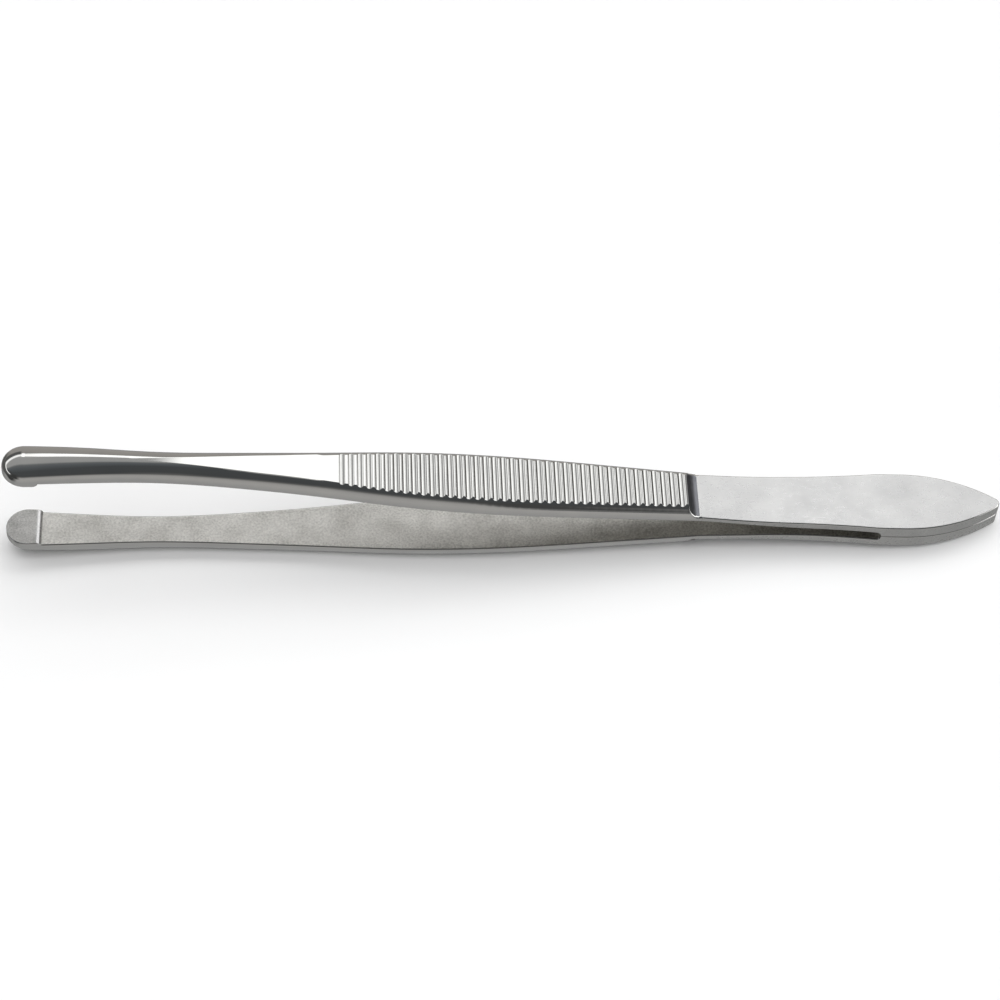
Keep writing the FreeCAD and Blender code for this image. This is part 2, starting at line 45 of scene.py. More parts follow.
sideView = {
    "length": 89.0,
    "blade": 1.2,            # thickness of the welded base
    "weld": 10.95,           # how far the two bases touch
    "slot": 0.5,             # radius of the slot's round end, and half its height as far as the bend
    "spring": 0.5,           # thickness of the thin stretch
    "bendAt": 19.4,          # where the level stretch and the slope would meet
    "bendRadius": 70.0,
    "slope": math.radians(4.24),
    "frontBendAt": 58.0,     # from here the arm curves back towards the other one
    "frontBendRadius": 370.0,
    "gripRear": 27.0,        # where the leaf's outline meets the bar's
    "stepAt": 27.4,
    "stepRun": 1.1,          # length of the hollow step up to the grip
    "grip": 1.35,            # thickness at the grip
    "facetBendAt": 60.0,
    "facetBendRadius": 400.0,
    "facetNarrowsAt": 66.0,
    "facetEnd": 78.0,        # where the facet runs out on the crown
}

leaf = {
    "endRadius": 0.58,       # of the blunt point at the base end
    "wideAt": 8.8,           # where the leaf is at its widest
    "wideRun": 1.5,          # and for how long
    "halfWidth": 3.13,
    "flankRadius": 14.65,    # of the side that follows
    "waistRadius": 110.0,    # of the hollow after it
    "waistTaper": math.radians(1.4),
}

jaw = {
    "halfWidth": 1.97,       # also the radius of the round nose
    "flatLength": 3.2,
    "flatHeight": 0.33,
    "flatTilt": math.radians(2.5),
    "heel": 0.5,             # length of the rounded ramp behind the flat
}

# The bar: where its half width is set and how wide it is there, the grip's rear and the middle of
# the jaw included, then its section at the grip, behind the jaw and at the middle of the jaw
bar = {
    "gripAt": (36.0, 45.5, 54.0),
    "frontShares": (0.212, 0.424, 0.666, 0.85),        # of the way from the grip to the jaw
    "halfWidths": (2.47, 2.84, 3.12, 2.88, 2.3, 1.8, 1.5, 1.72, jaw["halfWidth"]),
    "sideFlat": (0.1, 0.54, 0.3),
    "shoulder": (1.34, 0.68, 0.75),
    "crown": (1.58, 1.54, 1.33),
}

groove = {
    "count": 39,
    "pitch": 0.8,
    "radius": 0.45,
    "depth": 0.115,
    "rearAt": 28.98,         # middle of the rearmost one
    "lip": 0.01,             # rounding where a land turns into a groove
    "shallow": 7,            # how many of the foremost ones get shallower
    "frontDepth": 0.06,      # and the depth that they fade towards
}

# Polished rounds along the edges: across and up, or one radius
brokenEdge = {
    "inner": (0.14, 0.12),
    "jaw": (0.07, 0.05),
    "panel": (0.12, 0.1),
    "step": 0.26,
    "grip": 0.12,
    "facet": 1.0,
    "fade": 2.0,             # length in front of the grip in which its round becomes the facet's
    "most": 1 / 3,           # of the width or the thickness that a round may take
}

# How finely a half section and each stretch of the arm are divided
rows = {"floor": 6, "innerEdge": 5, "side": 4, "shoulder": 11, "crown": 9, "outerEdge": 5, "face": 6}
columns = {"baseFan": 9, "pastFan": 12, "panel": 22, "nearWeld": 4, "slot": 10, "spring": 56,
           "step": 14, "facet": 90, "heel": 12, "jawFlat": 6, "noseFan": 24}

meshing = {
    "fanEnd": 2.0,           # where the sections have straightened up past the base end's fan
    "fanCrowding": 1.3,      # over 1 crowds their outer ends towards the fan
    "nearWeld": 0.4,         # length of the finer stretch before the weld ends
    "pastSlot": 0.3,         # length of the undivided stretch past the slot's round end
    "grooveShares": (1.3, 1.1, 1.0, 0.92, 0.75, 0.5, 0.25),      # of a groove's half width
    "arris": 0.05,           # polished strip at the top of the step
    "tiny": 0.00001,         # how close points on the middle plane are to be one
    "double": 0.0002,        # and how close anywhere
    "sharpFrom": math.radians(35),
}

slope = sideView["slope"]
rise = math.tan(slope)
jawCentre = sideView["length"] - jaw["halfWidth"]
heelAt = sideView["length"] - jaw["flatLength"]
stepHeight = sideView["grip"] - sideView["spring"]
stepEnd = sideView["stepAt"] + sideView["stepRun"] * math.cos(slope) - stepHeight * math.sin(slope)
groovePitch = groove["pitch"] * math.cos(slope)        # along x
groovesEnd = groove["rearAt"] + groove["count"] * groovePitch


def smoothShare(x, start, end):
    # from 0 at the start to 1 at the end, level at both
    share = min(max((x - start) / (end - start), 0), 1)
    return share * (share * (3 - 2 * share))


# Side view: heights above the plane where the arms meet

def arcHeight(x, startX, startZ, radius, startSlope, upward):
    # an arc that leaves its start at a slope and bends up or down
    turn = 1 if upward else -1
    centreX = startX - turn * radius * math.sin(startSlope)
    centreZ = startZ + turn * radius * math.cos(startSlope)
    return centreZ - turn * math.sqrt(radius ** 2 - (x - centreX) ** 2)


def bentHeight(x, cornerX, flatZ):
    # level, then a bend, then the arm's slope; the two straights would cross at the corner
    setback = sideView["bendRadius"] * math.tan(slope / 2)
    if x <= cornerX - setback:
        return flatZ
    if x <= cornerX + setback * math.cos(slope):
        return arcHeight(x, cornerX - setback, flatZ, sideView["bendRadius"], 0, True)
    return flatZ + (x - cornerX) * rise


def innerHeight(x):
    # weld, round end of the slot, then the inner face without the jaw's flat
    slotEnd = sideView["weld"] + sideView["slot"]
    if x <= sideView["weld"]:
        return 0.0
    if x < slotEnd:
        return math.sqrt(sideView["slot"] ** 2 - (slotEnd - x) ** 2)
    if x <= sideView["frontBendAt"]:
        return bentHeight(x, sideView["bendAt"], sideView["slot"])
    start = bentHeight(sideView["frontBendAt"], sideView["bendAt"], sideView["slot"])
    return arcHeight(x, sideView["frontBendAt"], start, sideView["frontBendRadius"], slope, False)


def floorHeight(x):
    # the inner face with the raised flat of the jaw
    if x <= heelAt:
        return innerHeight(x)
    flat = innerHeight(heelAt) - jaw["flatHeight"] + (x - heelAt) * math.tan(jaw["flatTilt"])
    if x >= heelAt + jaw["heel"]:
        return flat
    radius = (jaw["heel"] ** 2 + jaw["flatHeight"] ** 2) / (2 * jaw["flatHeight"])
    return flat + radius - math.sqrt(radius ** 2 - (heelAt + jaw["heel"] - x) ** 2)


def gripFace(x):
    # the straight face that the grooves are cut in
    straight = sideView["slot"] + (x - sideView["bendAt"]) * rise
    return straight + sideView["grip"] / math.cos(slope)


def facetHeight(x):
    # straight over the grip, then a long arc that blends into the crown
    bendAt = sideView["facetBendAt"]
    if x <= bendAt:
        return gripFace(x)
    facet = arcHeight(x, bendAt, gripFace(bendAt), sideView["facetBendRadius"], slope, False)
    share = smoothShare(x, sideView["facetNarrowsAt"], sideView["facetEnd"])
    return facet + (innerHeight(x) + crownHeight(x) - facet) * share


def deepest(index):
    # depth in the middle of a groove, counted from the rear
    share = max(index - (groove["count"] - groove["shallow"]), 0) / groove["shallow"]
    return groove["depth"] + (groove["frontDepth"] - groove["depth"]) * share


def grooveDepth(x):
    index = round((x - groove["rearAt"]) / groovePitch)
    offset = x - groove["rearAt"] - index * groovePitch
    if not 0 <= index < groove["count"] or abs(offset) >= groove["radius"]:
        return 0.0
    depth = math.sqrt(groove["radius"] ** 2 - offset ** 2) - groove["radius"] + deepest(index)
    return (depth + math.hypot(depth, groove["lip"])) / 2      # runs out softly on the lands


def outerHeight(x):
    # panel, spring, concave step, then the grip's face and the long facet
    stepAt = sideView["stepAt"]
    springTop = innerHeight(stepAt) + sideView["spring"] / math.cos(slope)
    if x <= stepAt:
        cornerX = stepAt - (springTop - sideView["blade"]) / rise
        return bentHeight(x, cornerX, sideView["blade"])
    if x < stepEnd:
        hollow = (sideView["stepRun"] ** 2 + stepHeight ** 2) / (2 * stepHeight)
        return min(arcHeight(x, stepAt, springTop, hollow, slope, True), gripFace(x))
    return facetHeight(x) - grooveDepth(x)


# Plan view: half widths

def leafEndArc():
    # radius of the arc up to the widest place and the direction in which it leaves the round end
    end, half = leaf["endRadius"], leaf["halfWidth"]
    run = leaf["wideAt"] - end
    radius = (run ** 2 + half ** 2 - end ** 2) / (2 * (half - end))
    return radius, math.atan2(radius - half, run)


def leafHalfWidth(x):
    # end arc, widest stretch, flank, hollow waist, then a straight taper to the bar
    half, wideEnd = leaf["halfWidth"], leaf["wideAt"] + leaf["wideRun"]
    if x <= leaf["wideAt"]:
        radius = leafEndArc()[0]
        return half - radius + math.sqrt(radius ** 2 - (leaf["wideAt"] - x) ** 2)
    if x <= wideEnd:
        return half
    radius, waist, taper = leaf["flankRadius"], leaf["waistRadius"], leaf["waistTaper"]
    barHalf, barAt = bar["halfWidths"][0], sideView["gripRear"]
    centreY = half - radius
    drop = math.sin(taper) * (barAt - wideEnd) + math.cos(taper) * (barHalf - centreY)
    turn = taper + math.acos((waist + drop) / (waist + radius))
    waistX = wideEnd + (waist + radius) * math.sin(turn)
    waistY = centreY + (waist + radius) * math.cos(turn)
    if x <= wideEnd + radius * math.sin(turn):
        return centreY + math.sqrt(radius ** 2 - (x - wideEnd) ** 2)
    if x <= waistX - waist * math.sin(taper):
        return waistY - math.sqrt(waist ** 2 - (x - waistX) ** 2)
    return barHalf + (barAt - x) * math.tan(taper)


def smoothCurve(places, values):
    # the cubic curve through the values that bends most evenly
    count = len(places)
    gaps = [b - a for a, b in zip(places, places[1:])]
    slopes = [(b - a) / gap for a, b, gap in zip(values, values[1:], gaps)]
    weight, bend = [0.0], [0.0]
    for i in range(1, count - 1):
        pivot = 2 * (gaps[i - 1] + gaps[i]) - gaps[i - 1] * weight[-1]
        weight.append(gaps[i] / pivot)
        bend.append((6 * (slopes[i] - slopes[i - 1]) - gaps[i - 1] * bend[-1]) / pivot)
    curve = [0.0] * count
    for i in range(count - 2, 0, -1):
        curve[i] = bend[i] - weight[i] * curve[i + 1]

    def value(x):
        i = max(k for k in range(count - 1) if k == 0 or places[k] <= x)
        a, b, gap = places[i + 1] - x, x - places[i], gaps[i]
        return ((curve[i] * a ** 3 + curve[i + 1] * b ** 3) / (6 * gap)
                + (values[i] / gap - curve[i] * gap / 6) * a
                + (values[i + 1] / gap - curve[i + 1] * gap / 6) * b)
    return value


gripFront = bar["gripAt"][-1]
stationAt = [sideView["gripRear"], *bar["gripAt"]]
stationAt += [gripFront + (jawCentre - gripFront) * share for share in bar["frontShares"]]
stationAt += [jawCentre]
barHalfWidth = smoothCurve(stationAt, bar["halfWidths"])


def sectionCurve(atGrip, behindJaw, atJaw):
    # the same all along the grip, then changing evenly until behind the jaw
    bendAt, jawBack = sideView["frontBendAt"], stationAt[-2]
    shares = [max(x - bendAt, 0) / (jawBack - bendAt) for x in stationAt[:-1]]
    return smoothCurve(stationAt, [atGrip + (behindJaw - atGrip) * s for s in shares] + [atJaw])


sideFlat = sectionCurve(*bar["sideFlat"])
shoulderRadius = sectionCurve(*bar["shoulder"])
crownHeight = sectionCurve(*bar["crown"])


# Section: from the middle of the inner face round one side to the middle of the outer face

def arcPoints(centreY, centreZ, radius, start, end, count, up=None):
    # the start itself is left out; up is the radius upwards where it differs
    turns = [start + (end - start) * (i + 1) / count for i in range(count)]
    return [(centreY + radius * math.cos(t), centreZ + (up or radius) * math.sin(t)) for t in turns]


def crowdedToEnd(count):
    # shares of a length, closer together towards its end
    return [math.sin((i + 1) / count * math.pi / 2) for i in range(count)]


def outerEdge(x):
    # across and up
    if x < sideView["stepAt"]:
        return brokenEdge["panel"]
    if x < stepEnd:
        return brokenEdge["step"], brokenEdge["step"]
    share = smoothShare(x, groovesEnd, groovesEnd + brokenEdge["fade"])
    radius = brokenEdge["grip"] + (brokenEdge["facet"] - brokenEdge["grip"]) * share
    return radius, radius


def roundedBack(x, width, level, edge):
    # shoulder and crown as far as the outer face's edge: where the side ends below them, their
    # points, and where that edge starts, its y, its z and its direction
    sideTop = innerHeight(x) + sideFlat(x)
    shoulder = shoulderRadius(x)
    span = width - shoulder
    lift = crownHeight(x) - sideFlat(x)
    crown = (span ** 2 + lift ** 2 - shoulder ** 2) / (2 * (lift - shoulder))
    crownZ = sideTop + lift - crown
    lean = math.atan2(crown - lift, span)
    level = min(level, sideTop + lift - edge)
    touch = math.asin(min((level - sideTop) / (shoulder - edge), 1))
    points = arcPoints(span, sideTop, shoulder, 0, min(touch, lean), rows["shoulder"])
    if touch <= lean:                      # the face cuts the shoulder, so nothing of the crown is left
        points += points[-1:] * rows["crown"]
        return sideTop, points, span + (shoulder - edge) * math.cos(touch), level, touch
    touch = math.asin(min((level - crownZ) / (crown - edge), 1))
    points += arcPoints(0, crownZ, crown, lean, touch, rows["crown"])
    return sideTop, points, (crown - edge) * math.cos(touch), level, touch


def halfSection(x, width):
    floor, top = floorHeight(x), outerHeight(x)
    inner, innerUp = brokenEdge["jaw" if x > heelAt else "inner"]
    across, edge = outerEdge(x)
    across = min(across, width * brokenEdge["most"])
    edge = min(edge, (top - floor) * brokenEdge["most"])
    level, edgeY, touch = top - edge, width - across, 0.0
    sideStart, sideEnd = floor + innerUp, level
    around = [(width, level)] * (rows["shoulder"] + rows["crown"])
    if x > sideView["stepAt"] and level > innerHeight(x) + sideFlat(x):
        sideEnd, around, edgeY, level, touch = roundedBack(x, width, level, edge)

    points = [(0.0, floor)]
    points += [((width - inner) * s, floor) for s in crowdedToEnd(rows["floor"])]
    points += arcPoints(width - inner, sideStart, inner, -math.pi / 2, 0, rows["innerEdge"], innerUp)
    points += [(width, sideStart + (sideEnd - sideStart) * (i + 1) / rows["side"])
               for i in range(rows["side"])]
    points += around
    points += arcPoints(edgeY, level, across, touch, math.pi / 2, rows["outerEdge"], edge)
    points += [(edgeY * s, level + edge) for s in reversed([0.0] + crowdedToEnd(rows["face"])[:-1])]
    return points


# Stations: where a section starts on the middle line, and where it ends on the outline

def evenly(start, end, count):
    return [start + (end - start) * i / count for i in range(count)]


def quarterTurn(count):
    return [i / count * math.pi / 2 for i in range(count + 1)]


def straightStations():
    weld, slot, stepAt = sideView["weld"], sideView["slot"], sideView["stepAt"]
    nearWeld = weld - meshing["nearWeld"]
    places = evenly(meshing["fanEnd"], nearWeld, columns["panel"])
    places += evenly(nearWeld, weld, columns["nearWeld"])
    places += [weld + slot * (1 - math.cos(turn)) for turn in quarterTurn(columns["slot"])]
    places += evenly(weld + slot + meshing["pastSlot"], stepAt, columns["spring"])
    places += [stepAt + (stepEnd - stepAt) * math.sin(turn) for turn in quarterTurn(columns["step"])]
    for index in range(groove["count"]):
        half = math.sqrt(groove["radius"] ** 2 - (groove["radius"] - deepest(index)) ** 2)
        edge = [half * share for share in meshing["grooveShares"]]
        offsets = [-e for e in edge] + [0.0] + edge[::-1]
        places += [groove["rearAt"] + index * groovePitch + offset for offset in offsets]
    places += evenly(groovesEnd, heelAt, columns["facet"])
    places += evenly(heelAt, heelAt + jaw["heel"], columns["heel"])
    places += evenly(heelAt + jaw["heel"], jawCentre, columns["jawFlat"])
    return sorted(places)


def planStations():
    end, fanEnd, nose = leaf["endRadius"], meshing["fanEnd"], jaw["halfWidth"]
    lean = leafEndArc()[1]
    tangentX = end - end * math.cos(lean)
    stations = []
    for turn in evenly(0, lean, columns["baseFan"]):         # fan round the base end
        stations.append((end, end - end * math.cos(turn), end * math.sin(turn)))
    for share in evenly(0, 1, columns["pastFan"]):           # straightening up past it
        edgeX = tangentX + (fanEnd - tangentX) * share ** meshing["fanCrowding"]
        stations.append((end + (fanEnd - end) * share, edgeX, leafHalfWidth(edgeX)))
    for x in straightStations():
        width = leafHalfWidth(x) if x < sideView["gripRear"] else barHalfWidth(x)
        stations.append((x, x, width))
    for turn in quarterTurn(columns["noseFan"]):             # fan round the nose
        stations.append((jawCentre, jawCentre + nose * math.sin(turn), nose * math.cos(turn)))
    return stations


def armSections():
    # each section's place on the middle line, the way it faces and its points
    sections = []
    for middleX, edgeX, edgeY in planStations():
        reach = math.hypot(edgeX - middleX, edgeY)
        direction = Vector(((edgeX - middleX) / reach, edgeY / reach, 0))
        sections.append((middleX, direction, halfSection(middleX, reach)))
    return sections


def sectionPoint(x, direction, section, row):
    out, z = section[row]
    place = Vector((x, 0, z)) + direction * out
    if x == jawCentre:                     # the jaw's flat keeps its tilt round the nose
        floor = section[0][1]
        sideEnd = section[rows["floor"] + rows["innerEdge"] + rows["side"]][1]
        place.z += (floorHeight(place.x) - floor) * max(0, 1 - (z - floor) / (sideEnd - floor))
    return place


finishNames = ["outer", "panel", "side", "inner", "jawFlat", "step", "grip"]
rowNames = [name for name, count in rows.items() for i in range(count)]


def finishAt(x, row):
    # by the place along the arm and round the section; edges and the bar's back are polished, and the
    # hollow step gets painted shade
    name = rowNames[row]
    onBase = x < sideView["stepAt"]
    if name == "floor" and x <= heelAt:
        return "inner"
    if name == "floor":
        return "panel" if x < heelAt + jaw["heel"] else "jawFlat"
    if name == "face" and onBase:
        return "panel"
    # painted shade: the hollow step's face gets the near-black step colour
    if name == "face" and x < stepEnd - meshing["arris"]:
        return "step"
    if name == "face" and stepEnd < x < groovesEnd:
        return "grip"
    if name in ("side", "shoulder", "crown") and onBase:
        return "side"
    return "outer"


def buildArm():
    # a grid whose columns are laid on the half sections, then mirrored
    sections = armSections()
    across = len(sections)
    bm = bmesh.new()
    bmesh.ops.create_grid(bm, x_segments=across - 1, y_segments=sum(rows.values()), size=1)
    bm.verts.ensure_lookup_table()
    for index, vertex in enumerate(bm.verts):
        row, column = divmod(index, across)
        vertex.co = sectionPoint(*sections[column], row)
    for face in bm.faces:
        first = min(vertex.index for vertex in face.verts)
        row, column = divmod(first, across)
        x = (sections[column][0] + sections[column + 1][0]) / 2
        face.material_index = finishNames.index(finishAt(x, row))
        face.smooth = True
    halfArm = bm.verts[:] + bm.edges[:] + bm.faces[:]
    bmesh.ops.mirror(bm, geom=halfArm, axis="Y", merge_dist=meshing["tiny"])
    bmesh.ops.remove_doubles(bm, verts=bm.verts[:], dist=meshing["double"])
    bmesh.ops.dissolve_degenerate(bm, edges=bm.edges[:], dist=meshing["tiny"])
    bmesh.ops.recalc_face_normals(bm, faces=bm.faces[:])
    for edge in bm.edges:
        edge.smooth = edge.calc_face_angle(0) < meshing["sharpFrom"]
    openEdges = [edge for edge in bm.edges if not edge.is_manifold]
    print("arm:", len(bm.verts), "vertices,", len(openEdges), "open edges")
    return bm


# Finishes: steel with a cloudy, slightly speckled colour, uneven roughness and a fine grain, and the
# step's near-black colour is painted shade

metalNoise = {
    "cloudDetail": 3,
    "grainDetail": 2,
    "limits": (0.3, 0.7),    # most of a noise lies between these
    "relief": 0.3,           # strength of the grain's bump
}

# cloud and grain are noise scales per metre, bump is the grain's depth in metres, and speck is
# the share of the grain in the colour
finishes = {
    "outer": dict(dark=(0.57, 0.57, 0.56), light=(0.62, 0.62, 0.60), rough=(0.04, 0.08), cloud=300,
                  grain=4000, grainStretch=(0.1, 1, 1), bump=0.000002),
    "panel": dict(dark=(0.53, 0.53, 0.53), light=(0.64, 0.64, 0.635), rough=(0.26, 0.34), cloud=350,
                  grain=5000, grainStretch=(0.4, 1, 1), bump=0.000004),
    "side": dict(dark=(0.50, 0.50, 0.49), light=(0.59, 0.59, 0.575), rough=(0.25, 0.35), cloud=500,
                 grain=7000, grainStretch=(0.3, 1, 1), bump=0.000005),
    "inner": dict(dark=(0.42, 0.41, 0.385), light=(0.92, 0.91, 0.87), rough=(0.40, 0.55), cloud=450,
                  grain=5500, grainStretch=(1, 1, 1), bump=0.00002, speck=0.6),
    "jawFlat": dict(dark=(0.34, 0.335, 0.325), light=(0.74, 0.735, 0.715), rough=(0.35, 0.5), cloud=900,
                    grain=6500, grainStretch=(1, 1, 1), bump=0.00002, speck=0.6),
    # the hollow step's near-black, bluish colour is painted shade, not the steel's own tone
    "step": dict(dark=(0.14, 0.145, 0.16), light=(0.20, 0.205, 0.22), rough=(0.28, 0.38), cloud=800,
                 grain=6000, grainStretch=(1, 0.3, 1), bump=0.000003),
    "grip": dict(dark=(0.56, 0.56, 0.55), light=(0.62, 0.62, 0.605), rough=(0.03, 0.07), cloud=500,
                 grain=7000, grainStretch=(1, 0.3, 1), bump=0.000003),
}


def addMath(nodes, links, operation, *values, clamp=False):
    node = nodes.new("ShaderNodeMath")
    node.operation = operation
    node.use_clamp = clamp
    for socket, value in zip(node.inputs, values):
        if isinstance(value, (int, float)):
            socket.default_value = value
        else:
            links.new(value, socket)
    return node.outputs[0]


def addNoise(nodes, links, place, scale, detail, stretch=(1, 1, 1)):
    mapping = nodes.new("ShaderNodeMapping")
    mapping.inputs["Scale"].default_value = stretch
    noise = nodes.new("ShaderNodeTexNoise")
    noise.inputs["Scale"].default_value = scale
    noise.inputs["Detail"].default_value = detail
    links.new(place, mapping.inputs["Vector"])
    links.new(mapping.outputs["Vector"], noise.inputs["Vector"])
    return noise.outputs["Fac"]


def addRange(nodes, links, noise, low, high):
    spread = nodes.new("ShaderNodeMapRange")
    spread.inputs["From Min"].default_value = metalNoise["limits"][0]
    spread.inputs["From Max"].default_value = metalNoise["limits"][1]
    spread.inputs["To Min"].default_value = low
    spread.inputs["To Max"].default_value = high
    links.new(noise, spread.inputs["Value"])
    return spread.outputs["Result"]


def addTint(nodes, links, noise, dark, light):
    ramp = nodes.new("ShaderNodeValToRGB")
    for stop, colour, limit in zip(ramp.color_ramp.elements, (dark, light), metalNoise["limits"]):
        stop.color = (*colour, 1)
        stop.position = limit
    links.new(noise, ramp.inputs["Fac"])
    return ramp.outputs["Color"]


def steel(name, dark, light, rough, cloud, grain, grainStretch, bump, speck=0.2):
    material = bpy.data.materials.new(name)
    material.use_nodes = True
    nodes, links = material.node_tree.nodes, material.node_tree.links
    shader = nodes["Principled BSDF"]
    shader.inputs["Metallic"].default_value = 1
    place = nodes.new("ShaderNodeTexCoord").outputs["Object"]
    clouds = addNoise(nodes, links, place, cloud, metalNoise["cloudDetail"])
    fine = addNoise(nodes, links, place, grain, metalNoise["grainDetail"], grainStretch)
    clouds = addMath(nodes, links, "MULTIPLY", clouds, 1 - speck)
    mottle = addMath(nodes, links, "MULTIPLY_ADD", fine, speck, clouds)
    links.new(addTint(nodes, links, mottle, dark, light), shader.inputs["Base Color"])
    links.new(addRange(nodes, links, fine, *rough), shader.inputs["Roughness"])
    relief = nodes.new("ShaderNodeBump")
    relief.inputs["Distance"].default_value = bump
    relief.inputs["Strength"].default_value = metalNoise["relief"]
    links.new(fine, relief.inputs["Height"])
    links.new(relief.outputs["Normal"], shader.inputs["Normal"])
    return material


finishMaterials = [steel(name + "Steel", **finishes[name]) for name in finishNames]
print("finishes:", len(finishMaterials), "kinds of steel")


# How the pair lies: on the back of the lower arm

def restTilt():
    # the base end and the curved facet of the lower arm both touch the floor
    radius = sideView["facetBendRadius"]
    centreX = sideView["facetBendAt"] + radius * math.sin(slope)
    centreZ = gripFace(sideView["facetBendAt"]) - radius * math.cos(slope)
    drop = centreZ - sideView["blade"]
    return math.atan2(drop, centreX) + math.asin(radius / math.hypot(centreX, drop))


# The footprint, from the lower arm's nose to the upper arm's base end, has its middle at x = 0
tilt = restTilt()
noseLean = (innerHeight(jawCentre) - sideView["blade"]) * math.sin(tilt)
baseX = (sideView["length"] * math.cos(tilt) + noseLean) / 2
baseEnd = Vector((baseX, 0, sideView["blade"] * math.cos(tilt)))


def layDown(name, turnedAbout):
    bm = buildArm()
    turn = Matrix.Rotation(tilt, 4, "Y") @ Matrix.Rotation(math.pi, 4, turnedAbout)
    lay = Matrix.Scale(mm, 4) @ Matrix.Translation(baseEnd) @ turn
    bmesh.ops.transform(bm, matrix=lay, verts=bm.verts)
    mesh = bpy.data.meshes.new(name)
    bm.to_mesh(mesh)
    bm.free()
    piece = bpy.data.objects.new(name, mesh)
    bpy.context.scene.collection.objects.link(piece)
    for material in finishMaterials:
        mesh.materials.append(material)
    return piece


upperArm = layDown("upperArmPolished", "Z")
lowerArm = layDown("lowerArmPolished", "Y")
for piece, node in ((upperArm, "upper_arm"), (lowerArm, "lower_arm")):
    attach(piece, "root")
    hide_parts(node)
print("arms: both modelled and laid down")


# Floor, studio, light and camera, in metres

studioFloor = {"size": 6.0, "colour": (0.85, 0.85, 0.85), "roughness": 0.9}


def addFloor():
    bm = bmesh.new()
    bmesh.ops.create_grid(bm, x_segments=1, y_segments=1, size=studioFloor["size"] / 2)
    mesh = bpy.data.meshes.new("studioFloor")
    bm.to_mesh(mesh)
    bm.free()
    piece = bpy.data.objects.new("studioFloor", mesh)
    bpy.context.scene.collection.objects.link(piece)
    material = bpy.data.materials.new("paleFloor")
    material.use_nodes = True
    shader = material.node_tree.nodes["Principled BSDF"]
    shader.inputs["Base Color"].default_value = (*studioFloor["colour"], 1)
    shader.inputs["Roughness"].default_value = studioFloor["roughness"]
    mesh.materials.append(material)
    piece.visible_glossy = False           # the steel mirrors the studio below instead


# The studio round the forceps, as the steel mirrors it. A direction's lean is 0 level on the far
# side, 90 overhead, 180 level on the near side and less than 0 below; its x, y and z are its parts
# along the axes, and its tier is z with the far side tipped down. A panel fills the directions
# between its limits with an even grey, over the ones before it.
studio = {
    # lean, brightness, warmth
    "room": [(-180, 0.50, 0.02), (-125, 0.42, 0.0), (-90, 0.42, 0.0), (-60, 0.3, 0.0), (-45, 0.26, 0.0),
             (-30, 0.28, 0.0), (-12, 0.42, 0.03), (0, 0.42, 0.05), (28, 0.38, 0.04), (33, 0.37, 0.02),
             (48, 0.46, 0.0), (70, 0.44, 0.0), (76, 0.19, -0.05), (84, 0.14, -0.08), (97, 0.09, -0.06),
             (130, 0.085, -0.04), (141, 0.15, 0.0), (150, 0.36, 0.02), (160, 0.47, 0.02),
             (180, 0.50, 0.02)],
    "tip": 0.28,             # how far the far side is tipped down for the tier
    "panels": [
        dict(name="nearDim", level=0.19, soft=0.06, x=(0.2, 1.2), y=(-1.2, -0.3), z=(0.14, 0.66)),
        dict(name="nearFlag", level=0.08, soft=0.05, x=(0.2, 0.31), y=(-1.2, -0.3), z=(0.34, 0.75)),
        dict(name="darkWall", level=0.13, soft=0.2, x=(-1.2, -0.5), y=(-0.6, 1.2), z=(-0.3, 0.3)),
        dict(name="jawFrame", level=0.13, soft=0.06, x=(-1.2, -0.12), y=(-0.4, 1.2), tier=(0.14, 0.40)),
        dict(name="flagBelow", level=0.06, soft=0.25, x=(-1.2, -0.60), y=(-1.2, -0.2), z=(-0.75, 0.1)),
        dict(name="flagNear", level=0.06, soft=0.25, x=(-1.2, -0.38), y=(-1.2, -0.40), z=(0.0, 0.85)),
        dict(name="endFlag", level=0.04, soft=0.05, x=(0.74, 1.2), y=(0.32, 1.2), z=(-0.5, 0.7)),
        dict(name="endBox", level=2.0, soft=0.06, x=(0.7, 1.2), y=(-0.4, 0.25), z=(0.1, 0.7)),
        dict(name="jawBox", level=1.5, soft=0.05, x=(-1.2, -0.05), y=(-0.36, 1.2), tier=(0.37, 0.49)),
        dict(name="longBox", level=1.85, soft=0.025, x=(-0.1, 0.75), y=(0.0, 1.2), tier=(0.31, 0.53)),
        dict(name="upperBox", level=1.85, soft=0.025, x=(0.09, 0.75), y=(0.0, 1.2), tier=(0.50, 0.745)),
        dict(name="boxGap", level=0.36, soft=0.02, x=(0.25, 0.335), y=(0.0, 1.2), tier=(0.45, 0.745)),
    ],
    "seen": 0.96,            # what the camera sees past the floor
}


def addBand(nodes, links, value, low, high, soft):
    # 1 between low and high, with soft edges
    up = addMath(nodes, links, "MULTIPLY_ADD", value, 1 / soft, 0.5 - low / soft, clamp=True)
    down = addMath(nodes, links, "MULTIPLY_ADD", value, -1 / soft, 0.5 + high / soft, clamp=True)
    return addMath(nodes, links, "MULTIPLY", up, down)


def addRoom(nodes, links, along):
    # the brightness by lean alone
    lean = addMath(nodes, links, "ARCTAN2", along["z"], along["y"])
    wholeTurn = addMath(nodes, links, "MULTIPLY_ADD", lean, 0.5 / math.pi, 0.5)      # -180 is 0, 180 is 1
    room = nodes.new("ShaderNodeValToRGB")
    links.new(wholeTurn, room.inputs["Fac"])
    stops = room.color_ramp.elements
    for _ in studio["room"][2:]:           # a ramp has two to begin with
        stops.new(0.5)
    for stop, (angle, value, warmth) in zip(stops, studio["room"]):
        stop.position = 0.5 + angle / 360
        stop.color = (value * (1 + warmth), value, value * (1 - warmth), 1)
    return room.outputs["Color"]


def addGrey(nodes, links, share, colour, level):
    mix = nodes.new("ShaderNodeMixRGB")
    links.new(share, mix.inputs["Fac"])
    links.new(colour, mix.inputs["Color1"])
    mix.inputs["Color2"].default_value = (level, level, level, 1)
    return mix


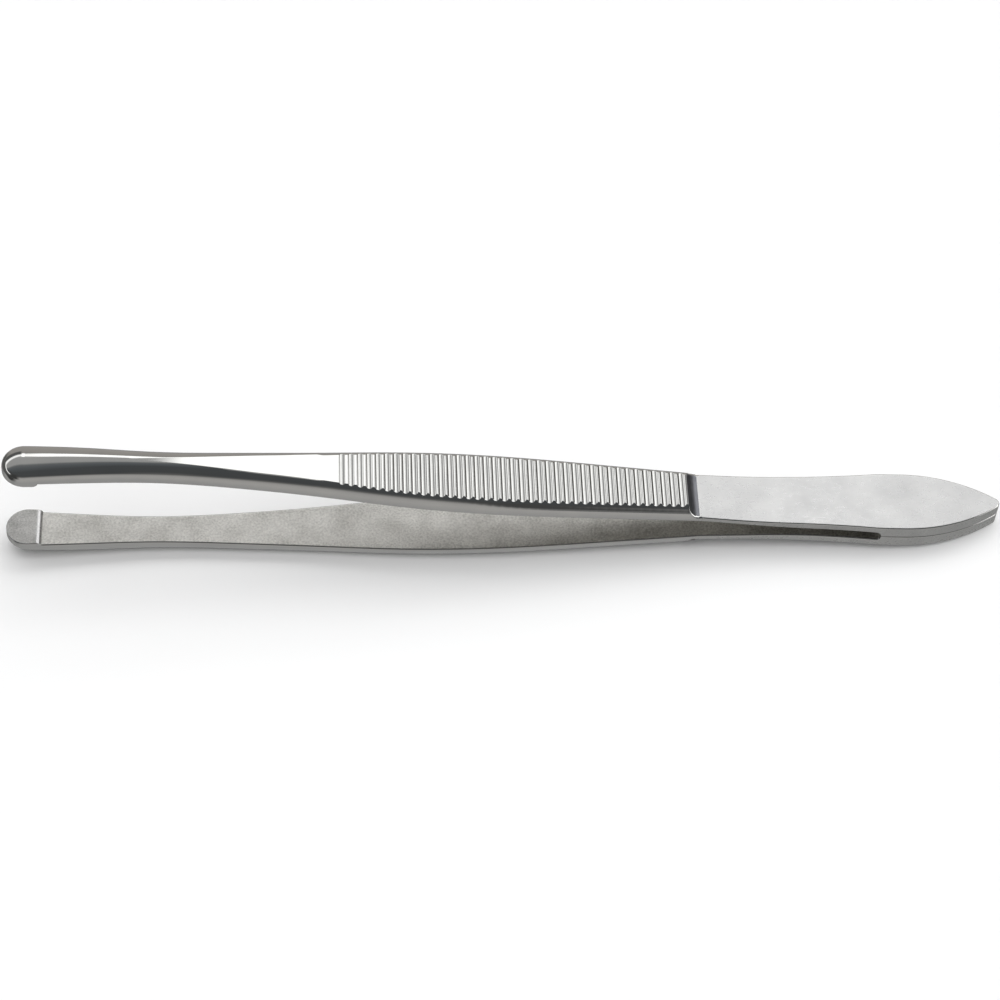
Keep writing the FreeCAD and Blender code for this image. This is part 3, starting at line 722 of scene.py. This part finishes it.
def addWorld():
    world = bpy.data.worlds.new("studioWorld")
    bpy.context.scene.world = world
    world.use_nodes = True
    nodes, links = world.node_tree.nodes, world.node_tree.links
    parts = nodes.new("ShaderNodeSeparateXYZ")
    links.new(nodes.new("ShaderNodeTexCoord").outputs["Generated"], parts.inputs[0])
    along = {"x": parts.outputs["X"], "y": parts.outputs["Y"], "z": parts.outputs["Z"]}
    farSide = addMath(nodes, links, "MAXIMUM", along["y"], 0.0)
    along["tier"] = addMath(nodes, links, "MULTIPLY_ADD", farSide, -studio["tip"], along["z"])
    colour = addRoom(nodes, links, along)
    for panel in studio["panels"]:
        mask = 1.0
        for part, value in along.items():
            if part in panel:
                band = addBand(nodes, links, value, *panel[part], panel["soft"])
                mask = addMath(nodes, links, "MULTIPLY", band, mask)
        hung = addGrey(nodes, links, mask, colour, panel["level"])
        hung.label = panel["name"]
        colour = hung.outputs["Color"]
    cameraRay = nodes.new("ShaderNodeLightPath").outputs["Is Camera Ray"]
    seen = addGrey(nodes, links, cameraRay, colour, studio["seen"])
    links.new(seen.outputs["Color"], nodes["Background"].inputs["Color"])


overheadLight = {"place": (0.0, 0.0, 0.7), "size": 1.2, "power": 6.9}


def addLight():
    # lights the floor softly and doesn't show in the steel
    light = bpy.data.lights.new("overheadLight", "AREA")
    light.size = overheadLight["size"]
    light.energy = overheadLight["power"]
    lamp = bpy.data.objects.new("overheadLight", light)
    bpy.context.scene.collection.objects.link(lamp)
    lamp.location = overheadLight["place"]
    lamp.rotation_euler = (-lamp.location).to_track_quat("-Z", "Y").to_euler()
    lamp.visible_glossy = False


camera = {"elevation": math.radians(52.0), "azimuth": math.radians(-7.241), "roll": math.radians(6.457),
          "distance": 0.30018, "lens": 120.93, "shift": (-0.00608, 0.00453), "clipStart": 0.01}


def addCamera():
    elevation, azimuth = camera["elevation"], camera["azimuth"]
    away = math.cos(elevation)
    back = Vector((math.sin(azimuth) * away, -math.cos(azimuth) * away, math.sin(elevation)))
    right = Vector((math.cos(azimuth), math.sin(azimuth), 0))
    up = back.cross(right)
    roll = Matrix.Rotation(camera["roll"], 3, back)
    axes = Matrix((roll @ right, roll @ up, back)).transposed()
    # it aims at the middle of the plane between the arms, and its angles are taken about that plane
    lean = Matrix.Rotation(tilt, 4, "Y")
    middle = Matrix.Translation((baseEnd - lean @ Vector((sideView["length"] / 2, 0, 0))) * mm)
    data = bpy.data.cameras.new("photoCamera")
    data.lens = camera["lens"]
    data.shift_x, data.shift_y = camera["shift"]
    data.clip_start = camera["clipStart"]
    eye = bpy.data.objects.new("photoCamera", data)
    bpy.context.scene.collection.objects.link(eye)
    eye.matrix_world = middle @ lean @ Matrix.Translation(back * camera["distance"]) @ axes.to_4x4()
    bpy.context.scene.camera = eye


addFloor()
addWorld()
addLight()
addCamera()
bpy.context.scene.view_settings.view_transform = "Standard"
print("studio: floor, light and camera ready")
